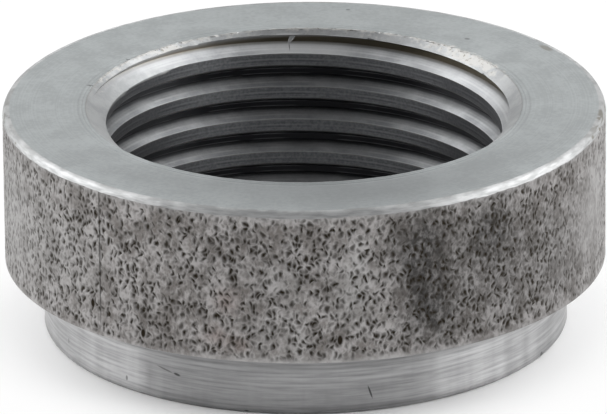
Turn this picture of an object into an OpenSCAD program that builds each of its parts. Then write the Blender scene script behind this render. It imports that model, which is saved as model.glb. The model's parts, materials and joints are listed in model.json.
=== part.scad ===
// Stepped weld bung for an exhaust oxygen sensor, turned in one piece from round steel bar.
// The spigot drops into a hole in the pipe, the shoulder seats on the pipe's wall and is
// welded round, and the sensor screws down the bore until its gasket meets the top face.
// The origin is at the centre of the spigot's end face, and +Z points out of the pipe.

/* [Ring] */
// Outside diameter of the ring, which is the size of the bar
ring_d = 25.4; // [24.5:0.1:32]
// Height of the ring, from its shoulder to the top face
ring_h = 6.65; // [4:0.05:12]
// Radial width of the edge break round the top face
top_break_w = 0.1; // [0.05:0.01:0.5]
// Height of the edge break round the top face
top_break_h = 0.25; // [0.05:0.01:1]
// Edge break round the shoulder, the same both ways
shoulder_break = 0.03; // [0.02:0.01:0.3]

/* [Spigot] */
// Diameter of the spigot that drops into the hole in the pipe
spigot_d = 22.15; // [21:0.05:23]
// Height of the spigot, from its end face to the shoulder
spigot_h = 2.95; // [1.5:0.05:6]
// Edge break round the end face, the same both ways
end_break = 0.12; // [0.02:0.01:0.3]
// Radius that the turning tool leaves in the corner under the shoulder
corner_r = 0.15; // [0.05:0.01:0.4]

/* [Thread] */
// Major diameter of the sensor's thread, measured across its roots
thread_d = 18; // [17:0.1:19]
// Depth of the thread from its crests to its roots, which the plain bore leaves to cut
thread_depth = 0.65; // [0.4:0.01:0.9]
// How far each countersink opens beyond the thread's roots, on the radius
mouth_extra = 0.2; // [0.05:0.01:0.5]
// Full angle of the countersinks at both ends of the bore
mouth_angle = 90; // [60:1:120]

/* [Hidden] */
$fn = 160;

// Radii from the axis outwards
bore_r = thread_d / 2 - thread_depth;
mouth_r = thread_d / 2 + mouth_extra;
spigot_r = spigot_d / 2;
ring_r = ring_d / 2;

// Heights above the spigot's end face
mouth_h = (mouth_r - bore_r) / tan(mouth_angle / 2);
top_z = spigot_h + ring_h;

// Half section of the bung, from the bore outwards, with the corner under the shoulder sharp
module turned_section() {
    polygon([
        [bore_r, mouth_h],
        [mouth_r, 0],
        [spigot_r - end_break, 0],
        [spigot_r, end_break],
        [spigot_r, spigot_h],
        [ring_r - shoulder_break, spigot_h],
        [ring_r, spigot_h + shoulder_break],
        [ring_r, top_z - top_break_h],
        [ring_r - top_break_w, top_z],
        [mouth_r, top_z],
        [bore_r, top_z - mouth_h]
    ]);
}

// Metal left in the corner between the spigot and the shoulder, rounded by the tool's nose
module corner_fillet() {
    translate([spigot_r, spigot_h - corner_r])
        difference() {
            square(corner_r);
            translate([corner_r, 0])
                circle(corner_r);
        }
}

// The whole bung, its section turned about the bore's axis
module bung() {
    color([0.63, 0.62, 0.60])
        rotate_extrude() {
            turned_section();
            corner_fillet();
        }
}

bung();
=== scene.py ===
import json
import math

import bpy
import numpy as np
from mathutils import Matrix, Vector


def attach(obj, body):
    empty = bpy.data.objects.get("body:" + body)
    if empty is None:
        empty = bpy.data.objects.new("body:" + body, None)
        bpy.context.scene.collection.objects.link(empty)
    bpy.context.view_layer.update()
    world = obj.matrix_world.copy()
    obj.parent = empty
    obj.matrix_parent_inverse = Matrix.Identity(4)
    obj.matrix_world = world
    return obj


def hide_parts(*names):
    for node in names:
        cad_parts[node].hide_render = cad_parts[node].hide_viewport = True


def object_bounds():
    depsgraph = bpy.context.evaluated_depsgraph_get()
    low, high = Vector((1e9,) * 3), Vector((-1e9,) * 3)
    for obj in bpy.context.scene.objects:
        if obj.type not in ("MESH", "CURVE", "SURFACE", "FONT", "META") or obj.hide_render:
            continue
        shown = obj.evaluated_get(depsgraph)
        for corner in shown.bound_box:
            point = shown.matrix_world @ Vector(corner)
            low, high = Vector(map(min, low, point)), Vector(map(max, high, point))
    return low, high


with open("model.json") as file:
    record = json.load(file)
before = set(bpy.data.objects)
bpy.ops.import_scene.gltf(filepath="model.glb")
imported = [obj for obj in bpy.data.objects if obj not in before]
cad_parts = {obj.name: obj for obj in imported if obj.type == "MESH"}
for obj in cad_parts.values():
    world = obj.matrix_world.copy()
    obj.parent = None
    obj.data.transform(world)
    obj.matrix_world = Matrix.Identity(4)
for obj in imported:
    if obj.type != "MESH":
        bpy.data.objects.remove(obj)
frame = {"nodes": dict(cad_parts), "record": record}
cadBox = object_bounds()
print("frame loaded with", ", ".join(frame["nodes"]))

mm = 0.001  # sizes below are millimetres, meshes are metres
fullTurn = 2 * math.pi
mounts = {mount["name"]: mount for mount in frame["record"]["mounts"]}
ringR = cadBox[1].x / mm
topZ = cadBox[1].z / mm
boreR = mounts["sensor_thread"]["dims"]["r_mm"]  # the thread's crests
spigotR = mounts["pipe_spigot"]["dims"]["r_mm"]
shoulderZ = mounts["pipe_seat"]["pos_m"][2] / mm


# Node helpers

def wire(tree, kind, inputs=None, **settings):
    made = tree.nodes.new(kind)
    for name, value in settings.items():
        setattr(made, name, value)
    for name, value in (inputs or {}).items():
        if isinstance(value, bpy.types.NodeSocket):
            tree.links.new(value, made.inputs[name])
        else:
            made.inputs[name].default_value = value
    return made


def calculate(tree, operation, first, second=0.0, third=0.0):
    return wire(tree, "ShaderNodeMath", {0: first, 1: second, 2: third}, operation=operation).outputs[0]


def times(tree, first, second):
    return calculate(tree, "MULTIPLY", first, second)


def timesPlus(tree, first, second, third):
    return calculate(tree, "MULTIPLY_ADD", first, second, third)


def vectorMath(tree, operation, first, second=(0, 0, 0), output="Vector"):
    return wire(tree, "ShaderNodeVectorMath", {0: first, 1: second}, operation=operation).outputs[output]


def remap(tree, value, low, high, lowOut=0.0, highOut=1.0):
    inputs = {0: value, 1: low, 2: high, 3: lowOut, 4: highOut}
    return wire(tree, "ShaderNodeMapRange", inputs, interpolation_type="SMOOTHSTEP").outputs[0]


def mixed(tree, share, first, second):
    first, second = (c if isinstance(c, bpy.types.NodeSocket) else (*c, 1) for c in (first, second))
    return wire(tree, "ShaderNodeMix", {0: share, 6: first, 7: second}, data_type="RGBA").outputs[2]


def objectPlace(tree):
    # the piece's own coordinates in millimetres
    coordinates = wire(tree, "ShaderNodeTexCoord").outputs["Object"]
    return vectorMath(tree, "MULTIPLY", coordinates, (1 / mm, 1 / mm, 1 / mm))


def grain(tree, place, stretch, scale, detail=2.0):
    # noise stretched along the axes
    place = vectorMath(tree, "MULTIPLY", place, stretch)
    return wire(tree, "ShaderNodeTexNoise", {"Vector": place, "Scale": scale, "Detail": detail}).outputs[0]


def field(tree, name):
    return wire(tree, "ShaderNodeAttribute", attribute_name=name).outputs["Fac"]


def turnFromFront(tree, place):
    # share of a turn about the axis, from the front towards the right
    parts = wire(tree, "ShaderNodeSeparateXYZ", {0: place})
    forward = times(tree, parts.outputs[1], -1.0)
    angle = calculate(tree, "ARCTAN2", parts.outputs[0], forward)
    return calculate(tree, "DIVIDE", angle, fullTurn)


def marks(tree, place, listed):
    # small ovals on the surface, each laid in its own turned and leaning frame, 1 inside and 0 outside
    total = None
    for degrees, radius, height, halfWidth, halfHeight, lean, amount in listed:
        angle = math.radians(degrees)
        inputs = {
            "Vector": place,
            "Location": (radius * math.sin(angle), -radius * math.cos(angle), height),
            "Rotation": (0, math.radians(lean), angle),
            "Scale": (halfWidth, halfHeight, halfHeight),
        }
        local = wire(tree, "ShaderNodeMapping", inputs, vector_type="TEXTURE").outputs[0]
        reach = vectorMath(tree, "LENGTH", local, output="Value")
        inside = remap(tree, reach, 1.0, 0.5, 0.0, amount)
        total = inside if total is None else calculate(tree, "MAXIMUM", total, inside)
    return total


# Camera, floor and light

cameraSettings = {
    "elevation": 21.27,  # degrees above the floor
    "roll": -0.517,  # degrees that the picture leans
    "distance": 411.3,
    "aim": (-0.06, 0.0, 4.93),
    "focalPixels": 9733.7,  # focal length counted in pixels of the picture
    "pictureWidth": 607,
    "sensor": 36.0,
    "clip": (0.01, 20.0),  # metres
}


def makeCamera(settings):
    data = bpy.data.cameras.new("camera")
    data.sensor_width = settings["sensor"]
    data.lens = settings["focalPixels"] * settings["sensor"] / settings["pictureWidth"]
    data.clip_start, data.clip_end = settings["clip"]
    camera = bpy.data.objects.new("camera", data)
    tilt = math.radians(settings["elevation"])
    back = Vector((0, -math.cos(tilt), math.sin(tilt)))
    place = (Vector(settings["aim"]) + back * settings["distance"]) * mm
    lean = Matrix.Rotation(math.radians(settings["roll"]), 4, "Z")
    turn = Matrix.Rotation(math.pi / 2 - tilt, 4, "X") @ lean
    camera.matrix_world = Matrix.Translation(place) @ turn
    bpy.context.collection.objects.link(camera)
    bpy.context.scene.camera = camera


lightSettings = {
    "world": 0.95,  # brightness of the tent's walls
    "tentTop": 0.44,  # and of its top, which reaches down to tentEdge, the sine of the elevation
    "tentEdge": (0.87, 0.94),
    "floorSize": 6.0,  # metres, as the other sizes here
    "floorColour": (0.93, 0.93, 0.93),
    "whiteFloor": (0.0108, 0.0155, 0.92),  # where the floor starts to fade to white, where it ends, how far
    "lamps": (  # name, place, width, height, radiance
        ("leftSoftbox", (-0.45, 0.10, 0.20), 0.55, 0.38, 2.1),
        ("rightSoftbox", (0.45, 0.0, 0.20), 0.60, 0.38, 2.3),
        ("backLeftSoftbox", (-0.28, 0.30, 0.36), 0.34, 0.28, 1.25),
        ("backRightSoftbox", (0.28, 0.30, 0.36), 0.34, 0.28, 1.4),
        ("highLeftSoftbox", (-0.40, 0.04, 0.42), 0.40, 0.22, 2.2),
        ("highRightSoftbox", (0.40, 0.04, 0.42), 0.40, 0.22, 2.2),
    ),
    "flag": (-1.6, 0.94, -0.62, 0.75),  # left, right, depth and height of the grey card behind the camera
    "flagColour": (0.25, 0.25, 0.255),
    "cardRoughness": 0.9,
}


def plainMaterial(name, colour, roughness):
    made = bpy.data.materials.new(name)
    made.use_nodes = True
    shader = made.node_tree.nodes["Principled BSDF"]
    shader.inputs["Base Color"].default_value = (*colour, 1)
    shader.inputs["Roughness"].default_value = roughness
    shader.inputs["Specular IOR Level"].default_value = 0.2
    return made


def floorMaterial(settings):
    # the floor fades to plain white away from the part for the camera and for reflections, and keeps the
    # part's shadow close to it
    made = plainMaterial("paleFloor", settings["floorColour"], settings["cardRoughness"])
    tree = made.node_tree
    path = wire(tree, "ShaderNodeLightPath").outputs
    seen = calculate(tree, "MAXIMUM", path["Is Camera Ray"], path["Is Glossy Ray"])
    seen = calculate(tree, "MAXIMUM", seen, path["Is Transmission Ray"])
    away = vectorMath(tree, "LENGTH", wire(tree, "ShaderNodeTexCoord").outputs["Object"], output="Value")
    start, end, share = settings["whiteFloor"]
    white = times(tree, remap(tree, away, start, end, 0.0, share), seen)
    glow = wire(tree, "ShaderNodeEmission", {"Color": (1, 1, 1, 1), "Strength": 1.0}).outputs[0]
    both = {0: white, 1: tree.nodes["Principled BSDF"].outputs[0], 2: glow}
    faded = wire(tree, "ShaderNodeMixShader", both).outputs[0]
    tree.links.new(faded, tree.nodes["Material Output"].inputs["Surface"])
    return made


def makeSheet(name, corners, material):
    mesh = bpy.data.meshes.new(name)
    mesh.from_pydata(corners, [], [(0, 1, 2, 3)])
    mesh.materials.append(material)
    sheet = bpy.data.objects.new(name, mesh)
    bpy.context.collection.objects.link(sheet)
    return sheet


def makeStage(settings):
    half = settings["floorSize"] / 2
    floorCorners = [(-half, -half, 0), (half, -half, 0), (half, half, 0), (-half, half, 0)]
    makeSheet("floor", floorCorners, floorMaterial(settings))
    left, right, depth, height = settings["flag"]
    flagCorners = [(right, depth, 0), (left, depth, 0), (left, depth, height), (right, depth, height)]
    card = plainMaterial("greyFlag", settings["flagColour"], settings["cardRoughness"])
    flag = makeSheet("flag", flagCorners, card)
    flag.visible_camera = False
    for name, place, width, height, radiance in settings["lamps"]:
        data = bpy.data.lights.new(name, "AREA")
        data.shape = "RECTANGLE"
        data.size = width
        data.size_y = height
        data.energy = radiance * math.pi * width * height
        lamp = bpy.data.objects.new(name, data)
        lamp.location = place
        lamp.rotation_mode = "QUATERNION"
        lamp.rotation_quaternion = (-Vector(place)).to_track_quat("-Z", "Y")
        lamp.visible_camera = False
        bpy.context.collection.objects.link(lamp)
    world = bpy.data.worlds.new("studio")
    world.use_nodes = True
    tree = world.node_tree
    direction = wire(tree, "ShaderNodeTexCoord").outputs["Generated"]
    upward = wire(tree, "ShaderNodeSeparateXYZ", {0: direction}).outputs["Z"]
    low, high = settings["tentEdge"]
    fade = {0: upward, 1: low, 2: high, 3: settings["world"], 4: settings["tentTop"]}
    strength = wire(tree, "ShaderNodeMapRange", fade).outputs[0]
    background = tree.nodes["Background"]
    background.inputs["Color"].default_value = (1, 1, 1, 1)
    tree.links.new(strength, background.inputs["Strength"])
    bpy.context.scene.world = world
    bpy.context.scene.view_settings.view_transform = "Standard"


makeCamera(cameraSettings)
makeStage(lightSettings)
print("camera, floor and lamps placed")


# The bung's mesh

bungSettings = {
    "columns": 120,  # round the bore; twice as many on the step, 4 times on the top and 8 times on the side
    "threadR": 9.0,  # the thread's roots
    "pitch": 1.5,
    "crestFlat": 0.555,
    "rootFlat": 0.26,
    "crestAtBack": 6.70,  # depth below the cone over which the painted shade in the groove grows to full
    "shadeDepth": 0.22,  # share of the flank facing up, from the crest, left without painted shade; the rest near the root is painted with shade
    "litShare": 0.8,  # share of the flank facing up that stays clean
    "shadeEdge": 0.05,  # height over which the painted shade ends above a crest's lower edge
    "crestFade": (0.03, 0.04),  # heights over which a crest's tone starts and ends
    "mouthR": 9.2,
    "coneSlope": 1.25,  # radius gained for each unit of height in the upper countersink
    "lipDepth": 0.08,  # band of the upper countersink that carries the burr
    "lipLines": ((9.35, 0.03, 0.020), (9.52, 0.03, 0.016)),  # radius, half width and depth
    # painted shade in the lines round the mouth and along the lip's edge, at the left and right
    "lipLineShade": 0.35,
    "lipShade": 0.45,
    "lipTop": 0.01,  # depth within which a point is on the lip's edge
    "lipRagged": (0.06, 0.25),  # how far the edge wanders, and its least share away from the tear
    "lipDrop": 0.05,  # how far the torn edge sinks
    "tornLip": (106, 262),  # degrees from the front, round the back
    "tornFade": 10,
    "flakes": ((128, 15, 1.0), (-141, 9, 0.85)),  # angle, half angle and amount
    "burrReach": 0.07,  # beyond the lip
    "flakeReach": ((128, 15, 0.26), (-141, 9, 0.04)),  # angle, half angle and how much further
    "burrDepth": 0.3,
    "burrFade": 0.75,  # share lost down the lip's band
    "burrLeast": 0.25,  # share below that band, away from the flakes
    "chip": {  # sliver that hangs from the lip across the first groove
        "degrees": (-178.2, -175.9),  # from its top to its tip
        "radius": (9.10, 8.86), "height": (9.50, 9.02), "halfWidth": 0.16, "halfThick": 0.03,
        "taper": 0.97,  # share of the section lost at the tip
        "curl": 0.7,  # power of its swing to the side
        "burr": 0.4, "rings": 8, "sides": 8,
    },
    "topBreak": (0.1, 0.25),  # width and height
    "raggedBreak": 0.036,  # how far the break's lower edge wanders
    "raggedShares": (0.6, 0.4),  # of the broad and of the fine wander
    "rubbedEdge": 0.16,  # height below the break over which the side is rubbed bright
    "rubbedShare": 0.45,
    "shoulderBreak": 0.03,
    "endBreak": 0.12,
    "cornerR": 0.15,
    "endBend": (0.04, 0.04),  # length of each bend before and after its corner
    "shoulderBend": (0.012, 0.012),
    "topBend": (0.12, 0.2),
    "raggedBend": (0.03, 0.03),
    "sideStep": 0.126,
    "pitsFrom": (0.05, 0.15),  # how far the pits' lower limit wanders, and the height over which they grow
    "endRows": (9.6, 10.2, 10.7),  # radii of the rings on the end face
    "stepRows": (0.22, 2.55),  # heights of the plain rings on the step
    "shoulderRows": (11.4, 12.0),
    "topRows": (12.0, 11.5, 11.0, 10.5, 10.0, 9.7, 9.58, 9.52, 9.46, 9.4, 9.34, 9.27),
    "closeTo": 0.012,  # points of the thread this near to an end ring join it
    "sharpDegrees": 28,
    "noises": {  # seed and cells round the part
        "pits": (59, 240), "lines": (60, 9), "break": (71, 90), "breakFine": (72, 400),
        "lipFine": (81, 480), "lip": (82, 130),
    },
    "lineFade": (0.65, 0.5),  # mean strength of a turning line, and how far it varies
    "lineSpread": 1.2,  # half widths between a turning line's middle and the rings beside it
    "toolLines": (  # height, half width and depth of the deeper turning lines on the step
        (0.36, 0.05, 0.008), (0.62, 0.06, 0.012), (0.88, 0.05, 0.007), (1.14, 0.06, 0.012),
        (1.42, 0.06, 0.009), (1.66, 0.05, 0.010), (1.98, 0.06, 0.020), (2.30, 0.06, 0.012),
    ),
}

pitSettings = {
    # cell size, lean in degrees, reach of the faintest and of the darkest as shares of a cell, share left
    # bare, strength of the darkest
    "layers": (
        (0.24, 4, 0.20, 0.54, 0.15, 1.0), (0.23, 26, 0.18, 0.51, 0.30, 1.0),
        (0.22, -30, 0.18, 0.51, 0.30, 1.0), (0.14, 12, 0.28, 0.52, 0.0, 0.4),
    ),
    "squash": 0.62,  # pits are longer than wide
    "scatter": 0.85,
    "fullChance": 0.95,  # pits above this are at full strength
    "spotEdge": (1.25, 0.12),  # shares of the reach between which a pit darkens
    "rimEdge": (1.8, 1.1),
    "backJoin": (0.499, 0.497),  # shares of a turn between which pits fade, where the unrolled pattern ends
    "bend": 0.36,
    "bendScale": 2.6,
    "depth": 0.05,
}

stainAndShadeSettings = {
    # angle from the front in degrees, height, half angle, half height, amount
    "side": (
        (21.5, 8.2, 6.5, 1.2, 0.48), (22.8, 6.6, 5.8, 2.0, 0.62), (24.3, 4.6, 6.0, 1.5, 0.54),
        (36.5, 8.0, 6.0, 1.3, 0.46), (-13.0, 7.2, 10.0, 1.3, 0.16), (3.8, 6.2, 2.5, 1.0, 0.14),
        (-33.0, 4.0, 6.0, 1.0, 0.10), (37.0, 5.6, 9.0, 3.2, 0.40), (54.0, 4.5, 13.0, 2.4, 0.34),
        (50.0, 7.3, 13.0, 1.8, 0.24),
    ),
    # patches where the side is worn lighter; those from about 50 to 80 degrees to either side also paint the
    # sheen the side shows near its left and right edges
    "sideWornAndSheen": (
        (-78.0, 6.5, 8.0, 4.0, 0.5), (79.0, 6.5, 7.0, 4.0, 0.35), (8.0, 3.0, 30.0, 0.16, 0.4),
        (9.0, 6.3, 3.5, 1.8, 0.5), (-4.5, 6.4, 4.0, 0.8, 0.3), (-8.0, 4.1, 4.0, 0.8, 0.35),
        (-1.0, 4.0, 2.5, 0.8, 0.35), (-48.0, 6.0, 9.0, 2.0, 0.3), (-64.0, 6.5, 12.0, 3.5, 0.36),
        (56.0, 6.0, 6.0, 2.0, 0.2), (69.0, 6.6, 6.0, 2.2, 0.22),
    ),
    "sideMost": 0.76,  # greatest darkening where the side's dark patches overlap
    # where the pits are rubbed away
    "smooth": (
        (71.0, 6.2, 10.0, 2.6, 0.85), (-73.0, 6.0, 11.0, 3.5, 0.4), (10.0, 3.0, 30.0, 0.25, 0.5),
    ),
    # angle, radius, half angle, half width, amount
    # the top face's patches paint shade, darker towards the front and near the lip
    "top": (
        (5.0, 9.4, 42.0, 1.6, 0.38), (18.0, 11.2, 24.0, 1.5, 0.36), (-40.0, 11.0, 35.0, 1.6, 0.20),
        (0.0, 11.0, 90.0, 3.0, 0.07), (58.0, 10.7, 22.0, 1.6, 0.17),
    ),
    "step": (
        (-35.6, 1.0, 1.3, 0.7, 0.26), (-62.0, 0.9, 9.0, 0.3, 0.14), (0.0, 0.7, 40.0, 0.9, 0.13),
        (-32.0, 0.9, 14.0, 0.9, 0.10), (62.0, 0.5, 6.0, 0.3, 0.14),
    ),
    # height where it starts, height over which it grows, amount
    # painted shade on the step under the shoulder, and at its foot
    "stepTopShade": (1.86, 0.3, 0.34),
    "stepFootShade": (0.5, 0.3, 0.28),
    "break": (
        (82.0, 9.45, 8.0, 0.4, 0.5), (-86.0, 9.45, 8.0, 0.4, 0.3),
    ),
    "rust": (
        (-15.0, 5.6, 2.2, 0.5, 0.4), (-17.0, 4.0, 2.5, 0.4, 0.4), (-12.4, 3.7, 1.8, 0.3, 0.35),
    ),
}
stepZone, sideZone, breakZone, topZone, threadZone = range(5)  # in the order of the finishes below


def degreesFromFront(around):
    return ((around + 0.5) % 1 - 0.5) * 360


def valueNoise(seed, around, along, cellsAround, cellsAlong=1):
    # random values on a lattice that closes round the part, blended by a smooth step between neighbours
    lattice = np.random.default_rng(seed).uniform(-1, 1, (cellsAlong + 2, cellsAround))
    x = (around % 1) * cellsAround
    y = np.clip(along, 0, 1) * cellsAlong
    column = x.astype(int)
    row = y.astype(int)
    sx = (x - column) ** 2 * (3 - 2 * (x - column))
    sy = (y - row) ** 2 * (3 - 2 * (y - row))
    column = column % cellsAround
    after = (column + 1) % cellsAround
    low = lattice[row, column] * (1 - sx) + lattice[row, after] * sx
    high = lattice[row + 1, column] * (1 - sx) + lattice[row + 1, after] * sx
    return low * (1 - sy) + high * sy


def bellPatches(listed, around, across):
    # sum of bell shapes, each with its own width round the part and across the surface
    total = np.zeros_like(around)
    for angle, place, halfAngle, halfWidth, amount in listed:
        turn = (degreesFromFront(around) - angle + 180) % 360 - 180
        total += amount * np.exp(-(turn / halfAngle) ** 2 - ((across - place) / halfWidth) ** 2)
    return total


def bentCorner(before, corner, after, bend, steps):
    # parabola that leaves the first line and joins the second, at the two lengths in bend from the corner
    into = corner - before
    out = after - corner
    into = into / np.hypot(*into) * bend[0]
    out = out / np.hypot(*out) * bend[1]
    share = np.linspace(0, 1, steps + 1)[:, None]
    return corner - into * (1 - share) ** 2 + out * share ** 2


def outlineRows(s):
    # rows of the turned outline from the bore's lower mouth, round the outside, to its upper mouth:
    # radius, height, columns as a multiple of the bore's, and the zone of the band that starts at the row
    breakW, breakH = s["topBreak"]
    corners = np.array([
        (s["mouthR"], 0),
        (spigotR - s["endBreak"], 0),
        (spigotR, s["endBreak"]),
        (spigotR, shoulderZ),
        (ringR - s["shoulderBreak"], shoulderZ),
        (ringR, shoulderZ + s["shoulderBreak"]),
        (ringR, topZ - breakH),
        (ringR - breakW, topZ),
        (s["mouthR"], topZ),
    ])
    rows = []

    def add(points, times, zone):
        rows.extend((r, z, times, zone) for r, z in points)

    def addCorner(index, times, zone, bend, steps=3):
        add(bentCorner(*corners[index - 1:index + 2], bend, steps), times, zone)

    add([(s["mouthR"], 0)], 1, stepZone)
    add([(r, 0) for r in s["endRows"]], 2, stepZone)
    addCorner(1, 2, stepZone, s["endBend"])
    addCorner(2, 2, stepZone, s["endBend"])
    spread = s["lineSpread"]
    lineRows = [z + half * k for z, half, depth in s["toolLines"] for k in (-spread, 0, spread)]
    add([(spigotR, z) for z in sorted([*s["stepRows"], *lineRows])], 2, stepZone)
    addCorner(3, 2, stepZone, (s["cornerR"], s["cornerR"]), 5)
    inner, outer = s["shoulderRows"]
    add([(inner, shoulderZ)], 2, stepZone)
    add([(outer, shoulderZ)], 4, stepZone)
    addCorner(4, 8, stepZone, s["shoulderBend"])
    addCorner(5, 8, sideZone, s["shoulderBend"])
    sideFrom = shoulderZ + s["shoulderBreak"] + s["sideStep"] / 2
    sideTo = topZ - breakH - s["raggedBreak"] - s["sideStep"]
    sideRows = int(round((sideTo - sideFrom) / s["sideStep"])) + 1
    add([(ringR, z) for z in np.linspace(sideFrom, sideTo, sideRows)], 8, sideZone)
    addCorner(6, 8, breakZone, s["raggedBend"], 3)
    rows[-4:-2] = [(*row[:3], sideZone) for row in rows[-4:-2]]
    addCorner(7, 4, breakZone, s["topBend"], 5)
    rows[-1] = (*rows[-1][:3], topZone)
    add([(r, topZ) for r in s["topRows"]], 4, topZone)
    add([(s["mouthR"], topZ)], 4, threadZone)
    half = s["lipDepth"] / 2
    add([(s["mouthR"] - s["coneSlope"] * half, topZ - half)], 2, threadZone)
    add([(s["mouthR"] - s["coneSlope"] * 2 * half, topZ - 2 * half)], 1, threadZone)
    return rows


def pitPattern(tree, place, s):
    # leaning ovals round scattered points on the unrolled side, whose places are bent by smooth noise:
    # 1 in a pit's middle and 0 outside, and the same for the pale rims round them
    turn = turnFromFront(tree, place)
    around = times(tree, turn, fullTurn * ringR)
    height = wire(tree, "ShaderNodeSeparateXYZ", {0: place}).outputs[2]
    noise = wire(tree, "ShaderNodeTexNoise", {"Vector": place, "Scale": s["bendScale"], "Detail": 1.0})
    bend = wire(tree, "ShaderNodeSeparateXYZ", {0: noise.outputs[1]}).outputs
    around = timesPlus(tree, bend[0], s["bend"], around)
    height = timesPlus(tree, bend[1], s["bend"], height)
    unrolled = wire(tree, "ShaderNodeCombineXYZ", {0: around, 1: height}).outputs[0]
    spots = 0.0
    rims = 0.0
    for cell, lean, small, large, bare, dark in s["layers"]:
        leaning = {"Vector": unrolled, "Angle": math.radians(lean)}
        turned = wire(tree, "ShaderNodeVectorRotate", leaning, rotation_type="Z_AXIS").outputs[0]
        cells = vectorMath(tree, "MULTIPLY", turned, (1 / cell, s["squash"] / cell, 1))
        inputs = {"Vector": cells, "Scale": 1.0, "Randomness": s["scatter"]}
        points = wire(tree, "ShaderNodeTexVoronoi", inputs, voronoi_dimensions="2D").outputs
        chance = wire(tree, "ShaderNodeSeparateXYZ", {0: points["Color"]}).outputs[0]
        edge = timesPlus(tree, chance, large - small, small)
        share = calculate(tree, "DIVIDE", points["Distance"], edge)
        strength = remap(tree, chance, bare, s["fullChance"], 0.0, dark)
        spot = times(tree, remap(tree, share, *s["spotEdge"]), strength)
        spots = calculate(tree, "MAXIMUM", spots, spot)
        rim = times(tree, remap(tree, share, *s["rimEdge"]), strength)
        rims = calculate(tree, "MAXIMUM", rims, rim)
    join = remap(tree, calculate(tree, "ABSOLUTE", turn), *s["backJoin"])
    return times(tree, spots, join), rims


def pressPits(piece, s):
    # moves the side's points inwards by the pits' pattern, so that dents and dark spots agree
    tree = bpy.data.node_groups.new("pressPits", "GeometryNodeTree")
    for way in ("INPUT", "OUTPUT"):
        tree.interface.new_socket("Geometry", in_out=way, socket_type="NodeSocketGeometry")
    position = wire(tree, "GeometryNodeInputPosition").outputs[0]
    place = vectorMath(tree, "MULTIPLY", position, (1 / mm, 1 / mm, 1 / mm))
    spots = pitPattern(tree, place, s)[0]
    pitted = wire(tree, "GeometryNodeInputNamedAttribute", {"Name": "pitted"}, data_type="FLOAT").outputs[0]
    depth = times(tree, times(tree, spots, pitted), -s["depth"] * mm)
    outward = wire(tree, "GeometryNodeInputNormal").outputs[0]
    offset = wire(tree, "ShaderNodeVectorMath", {0: outward, "Scale": depth}, operation="SCALE").outputs[0]
    given = wire(tree, "NodeGroupInput").outputs[0]
    pressed = wire(tree, "GeometryNodeSetPosition", {"Geometry": given, "Offset": offset}).outputs[0]
    wire(tree, "NodeGroupOutput", {0: pressed})
    piece.modifiers.new("pressPits", "NODES").node_group = tree
    graph = bpy.context.evaluated_depsgraph_get()
    smooth = piece.data
    shown = piece.evaluated_get(graph)
    piece.data = bpy.data.meshes.new_from_object(shown, preserve_all_data_layers=True, depsgraph=graph)
    piece.modifiers.clear()
    bpy.data.meshes.remove(smooth)
    bpy.data.node_groups.remove(tree)


def threadKnots(s):
    # heights within a pitch where the section turns: crest, flank that faces up, root, flank that faces down
    flank = (s["pitch"] - s["crestFlat"] - s["rootFlat"]) / 2
    return np.cumsum([0, s["crestFlat"], flank, s["rootFlat"], flank])


def threadRadius(s, rise):
    # straight lines between the section's corners
    radii = [boreR, boreR, s["threadR"], s["threadR"], boreR]
    return np.interp(rise % s["pitch"], threadKnots(s), radii)


def threadSheet(s, count):
    # grid on the bore's wall whose rows climb with the helix: height = row + pitch * turn, and the radius
    # is the larger of the thread's section and the countersink cones; rows move to where the two meet
    knots = threadKnots(s)
    shares = np.array([0, 0.08, 0.3, 0.5, 0.7, 0.92])  # rows crowd beside the corners to keep them crisp
    steps = (knots[:-1, None] + np.diff(knots)[:, None] * shares).ravel()
    turn = np.arange(count) / count
    start = s["crestAtBack"] - s["pitch"] / 2  # the back of the bore is half a turn from the first column
    turns = np.arange(math.floor(-(s["pitch"] + start) / s["pitch"]) - 1, math.ceil(topZ / s["pitch"]) + 2)
    rows = np.sort((start + s["pitch"] * turns[:, None] + steps).ravel())[::-1]
    height = rows[:, None] + s["pitch"] * turn

    def cones(z):
        return np.maximum(s["mouthR"] - s["coneSlope"] * (topZ - z), s["mouthR"] - z)

    def thread(z):
        return threadRadius(s, z - s["pitch"] * turn - start)

    gap = cones(height) - thread(height)
    crossing = gap[:-1] * gap[1:] < 0
    share = np.where(crossing, gap[:-1] / np.where(crossing, gap[:-1] - gap[1:], 1), 0)
    meeting = height[:-1] + share * (height[1:] - height[:-1])
    height[:-1] = np.where(crossing & (share < 0.5), meeting, height[:-1])
    height[1:] = np.where(crossing & (share >= 0.5), meeting, height[1:])
    radius = np.maximum(thread(height), cones(height))
    worn = (cones(height) >= thread(height)).astype(float)
    rise = (height - s["pitch"] * turn - start) % s["pitch"]
    # painted shade in the grooves: full on the root and on the flank facing down, and on the top of the
    # flank facing up, where the crest above shades them; it fades where the groove runs out under the cone
    litTo = knots[1] + s["litShare"] * (knots[2] - knots[1])
    dark = np.interp(rise, [0, s["shadeEdge"], litTo, knots[2], s["pitch"]], [1, 0, 0, 1, 1])
    fadeIn, fadeOut = s["crestFade"]
    crest = np.interp(rise, [0, fadeIn, knots[1] - fadeOut, knots[1], s["pitch"]], [0, 1, 1, 0, 0])
    crest = crest * (1 - worn)
    depth = np.clip((thread(height) - cones(height)) / s["shadeDepth"], 0, 1)
    return height, radius, dark * depth, worn, crest, len(steps)


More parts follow.
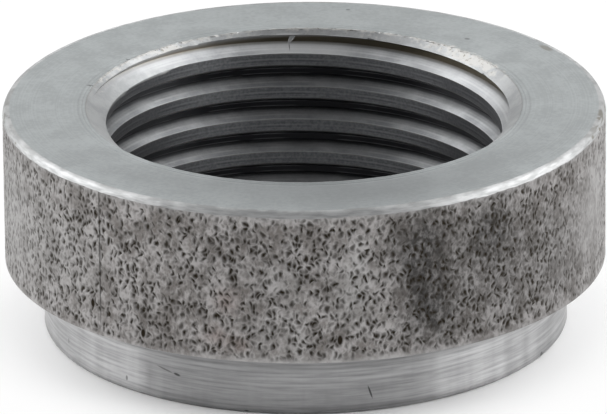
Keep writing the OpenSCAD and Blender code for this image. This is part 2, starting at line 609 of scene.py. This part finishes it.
def bridgeRings(first, firstCount, second, secondCount):
    # faces between two rings: quads where they have as many columns, and three triangles to each edge of the
    # ring that has half as many
    few = min(firstCount, secondCount)
    i = np.arange(few)
    j = (i + 1) % few
    a, b, c = 2 * i, 2 * i + 1, (2 * i + 2) % (2 * few)
    if firstCount == secondCount:
        return np.stack([first + i, first + j, second + j, second + i], 1).tolist()
    if firstCount < secondCount:
        threes = [
            (first + i, second + b, second + a),
            (first + i, first + j, second + b),
            (first + j, second + c, second + b),
        ]
    else:
        threes = [
            (first + a, first + b, second + i),
            (first + b, second + j, second + i),
            (first + b, first + c, second + j),
        ]
    return np.concatenate([np.stack(three, 1) for three in threes]).tolist()


def sheetFaces(index, perTurn):
    # quads of the helical grid; the last column joins the first one a turn further up the rows, and quads
    # that clamped rows have closed become triangles or nothing
    corners = [index[:-1, :-1], index[:-1, 1:], index[1:, 1:], index[1:, :-1]]
    quads = np.stack(corners, -1).reshape(-1, 4)
    ends = [index[perTurn:-1, -1], index[:-1 - perTurn, 0], index[1:-perTurn, 0], index[perTurn + 1:, -1]]
    quads = np.concatenate([quads, np.stack(ends, -1)])
    leftShut = quads[:, 0] == quads[:, 3]
    rightShut = quads[:, 1] == quads[:, 2]
    whole = quads[~leftShut & ~rightShut]
    rightOnly = quads[leftShut & ~rightShut][:, [0, 1, 2]]
    leftOnly = quads[~leftShut & rightShut][:, [0, 1, 3]]
    return whole.tolist() + rightOnly.tolist() + leftOnly.tolist()


def tornShare(s, around):
    # 1 where the lip is torn, fading to 0 within tornFade degrees of both ends
    start, end = s["tornLip"]
    turned = degreesFromFront(around) % 360
    return np.clip((turned - start) / s["tornFade"], 0, 1) * np.clip((end - turned) / s["tornFade"], 0, 1)


def bells(listed, around):
    # sum of bell shapes round the listed angles
    turned = degreesFromFront(around)
    return sum(amount * np.exp(-((turned - angle) / half) ** 2) for angle, half, amount in listed)


def chipShell(c, first):
    # oval tube along a curve on the bore's wall that narrows to its tip, closed by a point at each end; the
    # points are radius, height and share of a turn, and the faces count from the index first
    along = np.linspace(0, 1, c["rings"])[:, None]
    sides = np.arange(c["sides"]) / c["sides"] * fullTurn
    taper = np.sqrt(1 - along * c["taper"])
    degrees = c["degrees"][0] + (c["degrees"][1] - c["degrees"][0]) * along ** c["curl"]
    middleR = c["radius"][0] + (c["radius"][1] - c["radius"][0]) * along
    middleZ = c["height"][0] + (c["height"][1] - c["height"][0]) * along
    across = c["halfWidth"] * taper * np.cos(sides)
    turn = degrees / 360 + across / (middleR * fullTurn)
    radius = middleR + c["halfThick"] * np.sqrt(taper) * np.sin(sides)
    height = middleZ + 0 * sides
    ring = np.arange(c["rings"] * c["sides"]).reshape(c["rings"], c["sides"]) + first
    after = np.roll(ring, -1, 1)
    quads = np.stack([ring[:-1], after[:-1], after[1:], ring[1:]], -1).reshape(-1, 4).tolist()
    top = first + ring.size
    ends = [(top, int(b), int(a)) for a, b in zip(ring[0], after[0])]
    ends += [(top + 1, int(a), int(b)) for a, b in zip(ring[-1], after[-1])]
    poles = np.array([[middleR[0, 0], middleZ[0, 0], degrees[0, 0] / 360],
                      [middleR[-1, 0], middleZ[-1, 0], degrees[-1, 0] / 360]])
    points = np.concatenate([np.stack([radius.ravel(), height.ravel(), turn.ravel()], 1), poles])
    return points, quads + ends


def makeBung(s):
    rows = outlineRows(s)
    counts = [times * s["columns"] for r, z, times, zone in rows]
    starts = np.concatenate([[0], np.cumsum(counts)])
    around = np.concatenate([np.arange(n) / n for n in counts])
    radius = np.repeat([row[0] for row in rows], counts)
    height = np.repeat([row[1] for row in rows], counts)
    zone = np.repeat([row[3] for row in rows], counts)

    def wandering(name, more=0):
        # random value round the part, the same at each height
        seed, cells = s["noises"][name]
        return valueNoise(seed + more, around, 0 * around, cells)

    wanderBy, growth = s["pitsFrom"]
    low = shoulderZ + s["shoulderBreak"] + wanderBy * (1 + wandering("pits"))
    pitted = np.where(zone == sideZone, np.clip((height - low) / growth, 0, 1), 0)
    pitted = pitted * (1 - bellPatches(stainAndShadeSettings["smooth"], around, height))
    breakZ = topZ - s["topBreak"][1]
    rubbed = s["rubbedShare"] * np.exp(-((height - breakZ) / s["rubbedEdge"]) ** 2)
    pitted = pitted * (1 - rubbed)

    step = (zone == stepZone) & np.isclose(radius, spigotR)
    mean, vary = s["lineFade"]
    for number, (lineZ, half, depth) in enumerate(s["toolLines"]):
        fade = np.clip(mean + vary * wandering("lines", number), 0, 1)
        radius = radius - np.where(step, depth * fade * np.exp(-((height - lineZ) / half) ** 2), 0)

    lowBreak = (height > breakZ - 2 * s["raggedBend"][0]) & (height < breakZ + 2 * s["raggedBend"][1])
    broad, small = s["raggedShares"]
    wander = broad * wandering("break") + small * wandering("breakFine")
    height = height + np.where(lowBreak, s["raggedBreak"] * wander, 0)

    for lineR, half, depth in s["lipLines"]:
        height = height - np.where(zone == topZone, depth * np.exp(-((radius - lineR) / half) ** 2), 0)
    lip = (zone == threadZone) & (height > topZ - s["lipTop"])
    ragged = (wandering("lipFine") + wandering("lip")) / 2
    torn = tornShare(s, around)
    wanderBy, least = s["lipRagged"]
    radius = radius + np.where(lip, wanderBy * ragged * (least + torn), 0)
    height = height - np.where(lip, s["lipDrop"] * torn * np.clip(ragged, 0, 1), 0)
    spread = s["burrReach"] + bells(s["flakeReach"], around)
    burr = np.where(zone == topZone, torn * np.clip(1 - (radius - s["mouthR"]) / spread, 0, 1), 0)
    below = np.clip((topZ - height) / s["lipDepth"], 0, 1)
    lipBurr = torn * np.maximum(1 - s["burrFade"] * below, bells(s["flakes"], around))
    burr = np.where(zone == threadZone, lipBurr, burr)

    sideDark = np.minimum(bellPatches(stainAndShadeSettings["side"], around, height), stainAndShadeSettings["sideMost"])
    soilAndShade = np.where(zone == sideZone, sideDark, 0)
    # painted shade on the top face towards the front
    soilAndShade = np.where(zone == topZone, bellPatches(stainAndShadeSettings["top"], around, radius), soilAndShade)
    sideways = np.sin(fullTurn * around) ** 4  # 1 at the left and the right, 0 at the front and the back
    # painted shade in the lines round the mouth, at the left and right
    for lineR, half, depth in s["lipLines"]:
        line = s["lipLineShade"] * sideways * np.exp(-((radius - lineR) / half) ** 2)
        soilAndShade = soilAndShade + np.where(zone == topZone, line, 0)
    # painted shade on the step under the shoulder and at its foot
    start, growth, most = stainAndShadeSettings["stepTopShade"]
    soilAndShade = soilAndShade + np.where(step, most * np.clip((height - start) / growth, 0, 1), 0)
    start, growth, most = stainAndShadeSettings["stepFootShade"]
    soilAndShade = soilAndShade + np.where(zone == stepZone, most * np.clip((start - height) / growth, 0, 1), 0)
    soilAndShade = soilAndShade + np.where(step, bellPatches(stainAndShadeSettings["step"], around, height), 0)
    soilAndShade = np.where(zone == breakZone, bellPatches(stainAndShadeSettings["break"], around, height), soilAndShade)
    # painted shade along the lip's edge at the left and right
    soilAndShade = np.where(lip, s["lipShade"] * sideways, soilAndShade)
    sideWornAndSheen = np.maximum(rubbed, bellPatches(stainAndShadeSettings["sideWornAndSheen"], around, height))
    worn = np.where(zone == sideZone, sideWornAndSheen, 0)
    worn = np.where(zone == threadZone, 1, worn)
    rust = np.where(zone == sideZone, bellPatches(stainAndShadeSettings["rust"], around, height), 0)

    sheetZ, sheetR, sheetShade, sheetWorn, sheetCrest, perTurn = threadSheet(s, s["columns"])
    over = sheetZ > topZ - s["lipDepth"] - s["closeTo"]
    under = sheetZ < s["closeTo"]
    inside = ~over & ~under
    column = np.broadcast_to(np.arange(s["columns"]), sheetZ.shape)
    sheetAround = column / s["columns"]
    sheetBurr = sheetWorn * (sheetZ > topZ - s["burrDepth"]) * tornShare(s, sheetAround)
    sheetBurr = sheetBurr * np.maximum(s["burrLeast"], bells(s["flakes"], sheetAround))
    index = np.zeros(sheetZ.shape, int)
    index[inside] = starts[-1] + np.arange(inside.sum())
    index = np.where(over, starts[-2] + column, index)
    index = np.where(under, starts[0] + column, index)

    faces = []
    materials = []
    for k in range(len(rows) - 1):
        made = bridgeRings(int(starts[k]), counts[k], int(starts[k + 1]), counts[k + 1])
        faces += made
        materials += [rows[k][3]] * len(made)
    made = sheetFaces(index, perTurn)
    faces += made
    materials += [threadZone] * len(made)

    chip, chipFaces = chipShell(s["chip"], int(starts[-1] + inside.sum()))
    faces += chipFaces
    materials += [threadZone] * len(chipFaces)

    around = np.concatenate([around, sheetAround[inside], chip[:, 2]])
    radius = np.concatenate([radius, sheetR[inside], chip[:, 0]])
    height = np.concatenate([height, sheetZ[inside], chip[:, 1]])
    angle = fullTurn * around - math.pi / 2  # the first column faces the camera
    points = np.stack([radius * np.cos(angle), radius * np.sin(angle), height], 1) * mm
    noSheet = np.zeros(inside.sum())
    noChip = np.zeros(len(chip))
    fields = {
        "pitted": np.concatenate([pitted, noSheet, noChip]),
        "soilAndShade": np.concatenate([soilAndShade, sheetShade[inside], noChip]),
        "worn": np.concatenate([worn, sheetWorn[inside], noChip + 1]),
        "rust": np.concatenate([rust, noSheet, noChip]),
        "crest": np.concatenate([0 * soilAndShade, sheetCrest[inside], noChip]),
        "burr": np.concatenate([burr, sheetBurr[inside], noChip + s["chip"]["burr"]]),
    }

    mesh = bpy.data.meshes.new("bung")
    mesh.from_pydata(points, [], faces)
    mesh.polygons.foreach_set("material_index", materials)
    mesh.polygons.foreach_set("use_smooth", [True] * len(faces))
    for name, values in fields.items():
        mesh.attributes.new(name, "FLOAT", "POINT").data.foreach_set("value", values.astype(np.float32))
    mesh.set_sharp_from_angle(angle=math.radians(s["sharpDegrees"]))
    mesh.update()
    piece = bpy.data.objects.new("bung_body", mesh)
    bpy.context.collection.objects.link(piece)
    pressPits(piece, pitSettings)
    triangles = sum(len(face) - 2 for face in faces)
    print("bung made with", triangles, "triangles")
    return piece


bung = makeBung(bungSettings)
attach(bung, "root")
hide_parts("bung")


# Finishes

# three numbers are a colour, two or four a range with its start, its end and the amounts there, and
# brackets in brackets a grain with its stretch along the axes, scale and detail
finishSettings = {
    "side": {
        "dark": (0.170, 0.156, 0.147), "light": (0.405, 0.390, 0.385), "rim": (0.38, 0.378, 0.380),
        "worn": (0.43, 0.428, 0.425), "pit": (0.016, 0.012, 0.007), "fine": ((1, 1, 0.8), 5.0, 3),
        "blotch": ((1, 1, 0.8), 1.1, 3), "fineShare": 0.4, "tone": (0.38, 0.62), "rimShare": 0.25,
        "soilAndShade": (0.36, 0.64, 1.08, 0.74), "metal": (0, 1, 1.0, 0.0), "rough": (0, 1, 0.45, 0.75),
        "specular": 0.05, "fineRelief": 0.5, "bump": 0.4,
    },
    "step": {
        "dark": (0.30, 0.30, 0.304), "light": (0.51, 0.51, 0.514), "long": ((0.012, 0.012, 1), 8.0, 3),
        "broken": ((0.07, 0.07, 1), 9.0, 3), "streak": ((1, 1, 0.1), 1.5, 2), "brokenShare": 0.45,
        "streakShare": 0.2, "tone": (0.34, 0.66), "rough": (0.3, 0.7, 0.34, 0.42), "turned": 0.9,
        "bump": 0.35,
    },
    "break": {
        "dark": (0.34, 0.346, 0.346), "light": (0.48, 0.485, 0.488), "streak": ((0.25, 1.6, 1), 5.0, 3),
        "tone": (0.35, 0.65), "dirt": (0.48, 0.38, 0.15, 1.5), "rough": 0.56, "turned": 0.65,
        "bump": 0.2,
    },
    "top": {
        "dark": (0.316, 0.337, 0.341), "light": (0.389, 0.412, 0.416), "topShade": (0.138, 0.146, 0.15),
        "ring": (14.0, 3.0),  # scale and detail along the radius
        "cloud": ((1, 1, 1), 0.8, 4), "fine": ((1, 1, 1), 6.0, 2), "fineShare": 0.6, "cloudShare": 0.45,
        "tone": (0.38, 0.62), "rough": (0.3, 0.7, 0.36, 0.44), "flakeRough": 0.15, "turned": 0.4,
        "reliefShare": 0.5, "flakeRelief": 2.0, "bump": 0.12,
    },
    "thread": {
        "dark": (0.27, 0.279, 0.291), "light": (0.54, 0.55, 0.56), "bright": (0.62, 0.628, 0.635),
        "dull": (0.28, 0.285, 0.29), "crestDark": (0.115, 0.119, 0.126),
        # groove paints the shade in the thread's grooves; grooveLine and grooveSide are lighter copies where
        # light reaches in, and grooveTop is a lighter brown near the mouth, where light reaches in, and the
        # dirt along the crests' edges
        "crestLight": (0.225, 0.231, 0.240), "groove": (0.028, 0.028, 0.031),
        "grooveLine": (0.13, 0.132, 0.138), "grooveTop": (0.100, 0.088, 0.064),
        "grooveSide": (0.20, 0.182, 0.15), "coneDark": (0.305, 0.314, 0.319),
        "coneLight": (0.39, 0.398, 0.402),
        # waves in a pitch, shift and amount of the lines that the tap's teeth leave
        "toothWaves": ((7, 0.5, 0.24), (12, 2.1, 0.17), (23, 4.0, 0.12)),
        "patch": ((1, 1, 0.4), 1.0, 3), "fade": ((1, 1, 0.3), 0.45, 2),
        "fadeRange": (0.4, 0.6, 0.2, 1.0), "fine": ((1, 1, 1), 8.0, 2), "fineShare": 0.25,
        "lineShare": 0.4, "tone": (0.25, 0.75),
        "high": (7.9, 8.7),  # heights of the uppermost flank
        "brightRange": (0.44, 0.49, 0.0, 0.65),  # shares of a turn from the front, where the uppermost flank is painted with a highlight
        # dullRange paints shade on the uppermost flank away from the back
        "dullRange": (0.42, 0.39, 0.0, 0.55), "crestShare": 0.5, "crest": (0.3, 0.7),
        "sideShade": (2.8, 6.8, 0.0, 0.66),  # distances to either side over which the crests take painted shade
        "edge": (0.35, 0.65, 0.6, 3.0), "coneShare": 0.2, "cone": (0.35, 0.65), "line": (0.54, 0.80),
        # line, aside, left and top say where the groove is painted lighter: along the tooth lines, at the
        # sides, at the upper left and near the mouth
        "aside": (4.0, 6.5, 0.0, 0.4), "left": (-1.0, -4.5), "top": (8.5, 9.0),
        "rough": (0, 1, 0.40, 0.52), "wornRough": 0.16, "flakeRough": 0.10, "turned": 0.7,
        "flakeRelief": 1.0, "bump": 0.2,
    },
    "flakes": {
        "pale": (0.485, 0.482, 0.47), "fleck": ((1, 1, 1), 3.4, 2), "speck": ((1, 1, 1), 9.0, 2),
        "burrShare": 0.38, "flake": (0.62, 0.88), "start": (0.0, 0.15),
        "brown": (0.42, 0.30, 0.0, 0.75),
    },
    # near-black for stains and scratches, and for painted shade
    "soilAndShade": (0.027, 0.027, 0.027),
    "olive": (0.165, 0.148, 0.112),
    "rust": (0.20, 0.13, 0.11),
    "bumpDistance": 0.02,
}

# angle from the front in degrees, radius, height, half width, half height, lean in degrees, amount
markSettings = {
    "sidePits": (
        (-44.0, ringR, 4.3, 0.13, 0.30, 0, 1.0), (6.3, ringR, 3.95, 0.15, 0.30, 0, 1.0),
        (-32.0, ringR, 3.6, 0.14, 0.26, 0, 1.0), (38.0, ringR, 8.1, 0.22, 0.30, 0, 0.6),
    ),
    "sideLines": (
        (-42.0, ringR, 6.6, 0.055, 4.6, 0, 0.65), (21.8, ringR, 5.7, 0.35, 2.9, -24, 0.35),
    ),
    "break": (
        (72.0, ringR - 0.08, 9.45, 0.22, 0.10, 0, 0.7), (77.0, ringR - 0.05, 9.40, 0.16, 0.12, 0, 0.8),
        (82.0, ringR - 0.08, 9.48, 0.25, 0.09, 0, 0.6), (-72.0, ringR - 0.06, 9.42, 0.15, 0.08, 0, 0.5),
    ),
    "step": (
        (13.75, spigotR, 0.88, 0.05, 0.38, -18, 0.8), (-29.0, spigotR, 1.30, 0.20, 0.07, 12, 0.8),
        (-32.0, spigotR, 1.42, 0.50, 0.05, 14, 0.5), (-64.0, spigotR, 0.9, 0.05, 0.16, 0, 0.6),
        (-42.5, spigotR, 0.55, 0.08, 0.14, 0, 0.6), (-13.0, spigotR, 0.06, 0.16, 0.10, 0, 0.8),
        (63.0, spigotR, 0.12, 0.16, 0.20, 0, 0.8),
    ),
    "top": (
        (137.6, 10.4, topZ, 0.16, 0.13, 0, 0.5), (170.4, 11.6, topZ, 0.12, 0.12, 0, 0.5),
        (75.7, 12.5, topZ, 0.10, 0.14, 0, 0.6), (-105.0, 9.36, topZ, 0.10, 0.20, 0, 0.6),
        (-126.5, 9.30, topZ, 0.07, 0.15, 0, 0.6),
    ),
    "topOlive": (
        (122.0, 12.2, topZ, 0.55, 0.22, 0, 0.6),
    ),
    "thread": (
        (-176.0, 8.8, 8.75, 0.035, 0.40, 0, 0.85),
    ),
}


def steelMaterial(name):
    made = bpy.data.materials.new(name)
    made.use_nodes = True
    shader = made.node_tree.nodes["Principled BSDF"]
    shader.inputs["Metallic"].default_value = 1
    return made, made.node_tree, shader


def turnedAcross(tree, shader, amount):
    # turning marks run round the axis, so the gloss spreads across them
    shader.inputs["Anisotropic"].default_value = amount
    shader.inputs["Anisotropic Rotation"].default_value = 0.25
    around = wire(tree, "ShaderNodeTangent", direction_type="RADIAL", axis="Z").outputs[0]
    tree.links.new(around, shader.inputs["Tangent"])


def addBump(tree, shader, height, strength):
    inputs = {"Height": height, "Strength": strength, "Distance": finishSettings["bumpDistance"] * mm}
    tree.links.new(wire(tree, "ShaderNodeBump", inputs).outputs[0], shader.inputs["Normal"])


def weighted(tree, first, second, share):
    # the first value times one less the share, plus the second times the share
    part = times(tree, first, 1 - share)
    return timesPlus(tree, second, share, part)


def pittedSide(colours):
    made, tree, shader = steelMaterial("pittedSide")
    look = colours["side"]
    place = objectPlace(tree)
    spots, rims = pitPattern(tree, place, pitSettings)
    spots = times(tree, spots, field(tree, "pitted"))
    hole = calculate(tree, "MAXIMUM", spots, marks(tree, place, markSettings["sidePits"]))
    fine = grain(tree, place, *look["fine"])
    blotch = grain(tree, place, *look["blotch"])
    tone = remap(tree, weighted(tree, blotch, fine, look["fineShare"]), *look["tone"])
    ground = mixed(tree, tone, look["dark"], look["light"])
    ground = mixed(tree, times(tree, rims, look["rimShare"]), ground, look["rim"])
    # lighter where worn, and painted sheen near the left and right edges
    ground = mixed(tree, field(tree, "worn"), ground, look["worn"])
    ground = mixed(tree, field(tree, "rust"), ground, colours["rust"])
    soilAndShade = times(tree, field(tree, "soilAndShade"), remap(tree, fine, *look["soilAndShade"]))
    ground = mixed(tree, soilAndShade, ground, colours["soilAndShade"])
    ground = mixed(tree, marks(tree, place, markSettings["sideLines"]), ground, colours["soilAndShade"])
    tree.links.new(mixed(tree, hole, ground, look["pit"]), shader.inputs["Base Color"])
    tree.links.new(remap(tree, hole, *look["metal"]), shader.inputs["Metallic"])
    tree.links.new(remap(tree, hole, *look["rough"]), shader.inputs["Roughness"])
    shader.inputs["Specular IOR Level"].default_value = look["specular"]
    relief = calculate(tree, "SUBTRACT", times(tree, fine, look["fineRelief"]), hole)
    addBump(tree, shader, relief, look["bump"])
    return made


def turnedStep(colours):
    made, tree, shader = steelMaterial("turnedStep")
    look = colours["step"]
    place = objectPlace(tree)
    long = grain(tree, place, *look["long"])
    broken = grain(tree, place, *look["broken"])
    lines = weighted(tree, long, broken, look["brokenShare"])
    streak = grain(tree, place, *look["streak"])
    tone = remap(tree, weighted(tree, lines, streak, look["streakShare"]), *look["tone"])
    colour = mixed(tree, tone, look["dark"], look["light"])
    # the soil-and-shade field darkens the step with painted shade under the shoulder and at the foot, and
    # with its patches
    colour = mixed(tree, field(tree, "soilAndShade"), colour, colours["soilAndShade"])
    colour = mixed(tree, marks(tree, place, markSettings["step"]), colour, colours["soilAndShade"])
    tree.links.new(colour, shader.inputs["Base Color"])
    tree.links.new(remap(tree, streak, *look["rough"]), shader.inputs["Roughness"])
    turnedAcross(tree, shader, look["turned"])
    addBump(tree, shader, lines, look["bump"])
    return made


def wornBreak(colours):
    made, tree, shader = steelMaterial("wornBreak")
    look = colours["break"]
    place = objectPlace(tree)
    around = times(tree, turnFromFront(tree, place), fullTurn * ringR)
    height = wire(tree, "ShaderNodeSeparateXYZ", {0: place}).outputs[2]
    unrolled = wire(tree, "ShaderNodeCombineXYZ", {0: around, 1: height}).outputs[0]
    streak = grain(tree, unrolled, *look["streak"])
    colour = mixed(tree, remap(tree, streak, *look["tone"]), look["dark"], look["light"])
    dirt = times(tree, field(tree, "soilAndShade"), remap(tree, streak, *look["dirt"]))
    dirt = calculate(tree, "MAXIMUM", dirt, marks(tree, place, markSettings["break"]))
    colour = mixed(tree, dirt, colour, colours["olive"])
    tree.links.new(colour, shader.inputs["Base Color"])
    shader.inputs["Roughness"].default_value = look["rough"]
    turnedAcross(tree, shader, look["turned"])
    addBump(tree, shader, streak, look["bump"])
    return made


def tornFlakes(tree, place, colour, colours):
    # ragged pale flakes where the burr field is high, with brown specks among them
    look = colours["flakes"]
    fleck = grain(tree, place, *look["fleck"])
    speck = grain(tree, place, *look["speck"])
    burr = field(tree, "burr")
    flake = timesPlus(tree, burr, look["burrShare"], fleck)
    flake = remap(tree, flake, *look["flake"])
    flake = times(tree, flake, remap(tree, burr, *look["start"]))
    colour = mixed(tree, flake, colour, look["pale"])
    brown = times(tree, remap(tree, speck, *look["brown"]), burr)
    return mixed(tree, brown, colour, colours["olive"]), flake


def facedTop(colours):
    made, tree, shader = steelMaterial("facedTop")
    look = colours["top"]
    place = objectPlace(tree)
    flat = vectorMath(tree, "MULTIPLY", place, (1, 1, 0))
    radius = vectorMath(tree, "LENGTH", flat, output="Value")
    scale, detail = look["ring"]
    inputs = {"W": radius, "Scale": scale, "Detail": detail}
    rings = wire(tree, "ShaderNodeTexNoise", inputs, noise_dimensions="1D").outputs[0]
    cloud = grain(tree, place, *look["cloud"])
    fine = grain(tree, place, *look["fine"])
    shade = weighted(tree, weighted(tree, rings, fine, look["fineShare"]), cloud, look["cloudShare"])
    colour = mixed(tree, remap(tree, shade, *look["tone"]), look["dark"], look["light"])
    # painted shade on the top face, towards the front and in the lines round the mouth
    colour = mixed(tree, field(tree, "soilAndShade"), colour, look["topShade"])
    colour = mixed(tree, marks(tree, place, markSettings["top"]), colour, colours["soilAndShade"])
    colour = mixed(tree, marks(tree, place, markSettings["topOlive"]), colour, colours["olive"])
    colour, flake = tornFlakes(tree, place, colour, colours)
    tree.links.new(colour, shader.inputs["Base Color"])
    rough = remap(tree, cloud, *look["rough"])
    rough = timesPlus(tree, flake, look["flakeRough"], rough)
    tree.links.new(rough, shader.inputs["Roughness"])
    turnedAcross(tree, shader, look["turned"])
    relief = weighted(tree, rings, fine, look["reliefShare"])
    relief = timesPlus(tree, flake, look["flakeRelief"], relief)
    addBump(tree, shader, relief, look["bump"])
    return made


def cutThread(colours):
    made, tree, shader = steelMaterial("cutThread")
    look = colours["thread"]
    place = objectPlace(tree)
    parts = wire(tree, "ShaderNodeSeparateXYZ", {0: place}).outputs
    aside = calculate(tree, "ABSOLUTE", parts[0])
    height = parts[2]
    turn = turnFromFront(tree, place)
    behind = calculate(tree, "ABSOLUTE", turn)
    rise = timesPlus(tree, turn, -bungSettings["pitch"], height)
    lines = 0.0
    for waves, shift, amount in look["toothWaves"]:
        phase = timesPlus(tree, rise, waves * fullTurn / bungSettings["pitch"], shift)
        lines = timesPlus(tree, calculate(tree, "SINE", phase), amount, lines)
    fade = remap(tree, grain(tree, place, *look["fade"]), *look["fadeRange"])
    lines = timesPlus(tree, lines, fade, 0.5)  # the lines swing about a half
    patch = grain(tree, place, *look["patch"])
    fine = grain(tree, place, *look["fine"])
    shade = weighted(tree, weighted(tree, patch, fine, look["fineShare"]), lines, look["lineShare"])
    colour = mixed(tree, remap(tree, shade, *look["tone"]), look["dark"], look["light"])
    # painted highlight on the uppermost flank at the back, and painted shade on it away from the back
    high = remap(tree, height, *look["high"])
    shine = times(tree, high, remap(tree, behind, *look["brightRange"]))
    colour = mixed(tree, shine, colour, look["bright"])
    dimmedFlank = times(tree, high, remap(tree, behind, *look["dullRange"]))
    colour = mixed(tree, dimmedFlank, colour, look["dull"])
    crestTone = remap(tree, weighted(tree, fine, lines, look["crestShare"]), *look["crest"])
    crest = mixed(tree, crestTone, look["crestDark"], look["crestLight"])
    # painted shade on the crests towards the left and right of the bore
    crest = mixed(tree, remap(tree, aside, *look["sideShade"]), crest, look["groove"])
    land = field(tree, "crest")
    colour = mixed(tree, land, colour, crest)
    edge = times(tree, land, calculate(tree, "SUBTRACT", 1.0, land))
    edge = times(tree, edge, remap(tree, patch, *look["edge"]))
    colour = mixed(tree, edge, colour, look["grooveTop"])
    coneTone = remap(tree, weighted(tree, patch, fine, look["coneShare"]), *look["cone"])
    cone = mixed(tree, coneTone, look["coneDark"], look["coneLight"])
    colour = mixed(tree, field(tree, "worn"), colour, cone)
    colour, flake = tornFlakes(tree, place, colour, colours)
    colour = mixed(tree, marks(tree, place, markSettings["thread"]), colour, colours["soilAndShade"])
    # painted shade in the grooves, painted lighter along the tooth lines, towards the sides, near the mouth
    # and at the upper left, where light reaches in
    groove = mixed(tree, remap(tree, lines, *look["line"]), look["groove"], look["grooveLine"])
    groove = mixed(tree, remap(tree, aside, *look["aside"]), groove, look["grooveLine"])
    left = remap(tree, parts[0], *look["left"])
    grooveTop = mixed(tree, left, look["grooveTop"], look["grooveSide"])
    groove = mixed(tree, remap(tree, height, *look["top"]), groove, grooveTop)
    # the soil-and-shade field lays that painted shade on the grooves and the lip's edge
    colour = mixed(tree, field(tree, "soilAndShade"), colour, groove)
    tree.links.new(colour, shader.inputs["Base Color"])
    rough = remap(tree, land, *look["rough"])
    rough = timesPlus(tree, field(tree, "worn"), look["wornRough"], rough)
    rough = timesPlus(tree, flake, look["flakeRough"], rough)
    tree.links.new(rough, shader.inputs["Roughness"])
    turnedAcross(tree, shader, look["turned"])
    relief = timesPlus(tree, flake, look["flakeRelief"], lines)
    addBump(tree, shader, relief, look["bump"])
    return made


for finish in (turnedStep, pittedSide, wornBreak, facedTop, cutThread):
    bung.data.materials.append(finish(finishSettings))
print("finishes made")
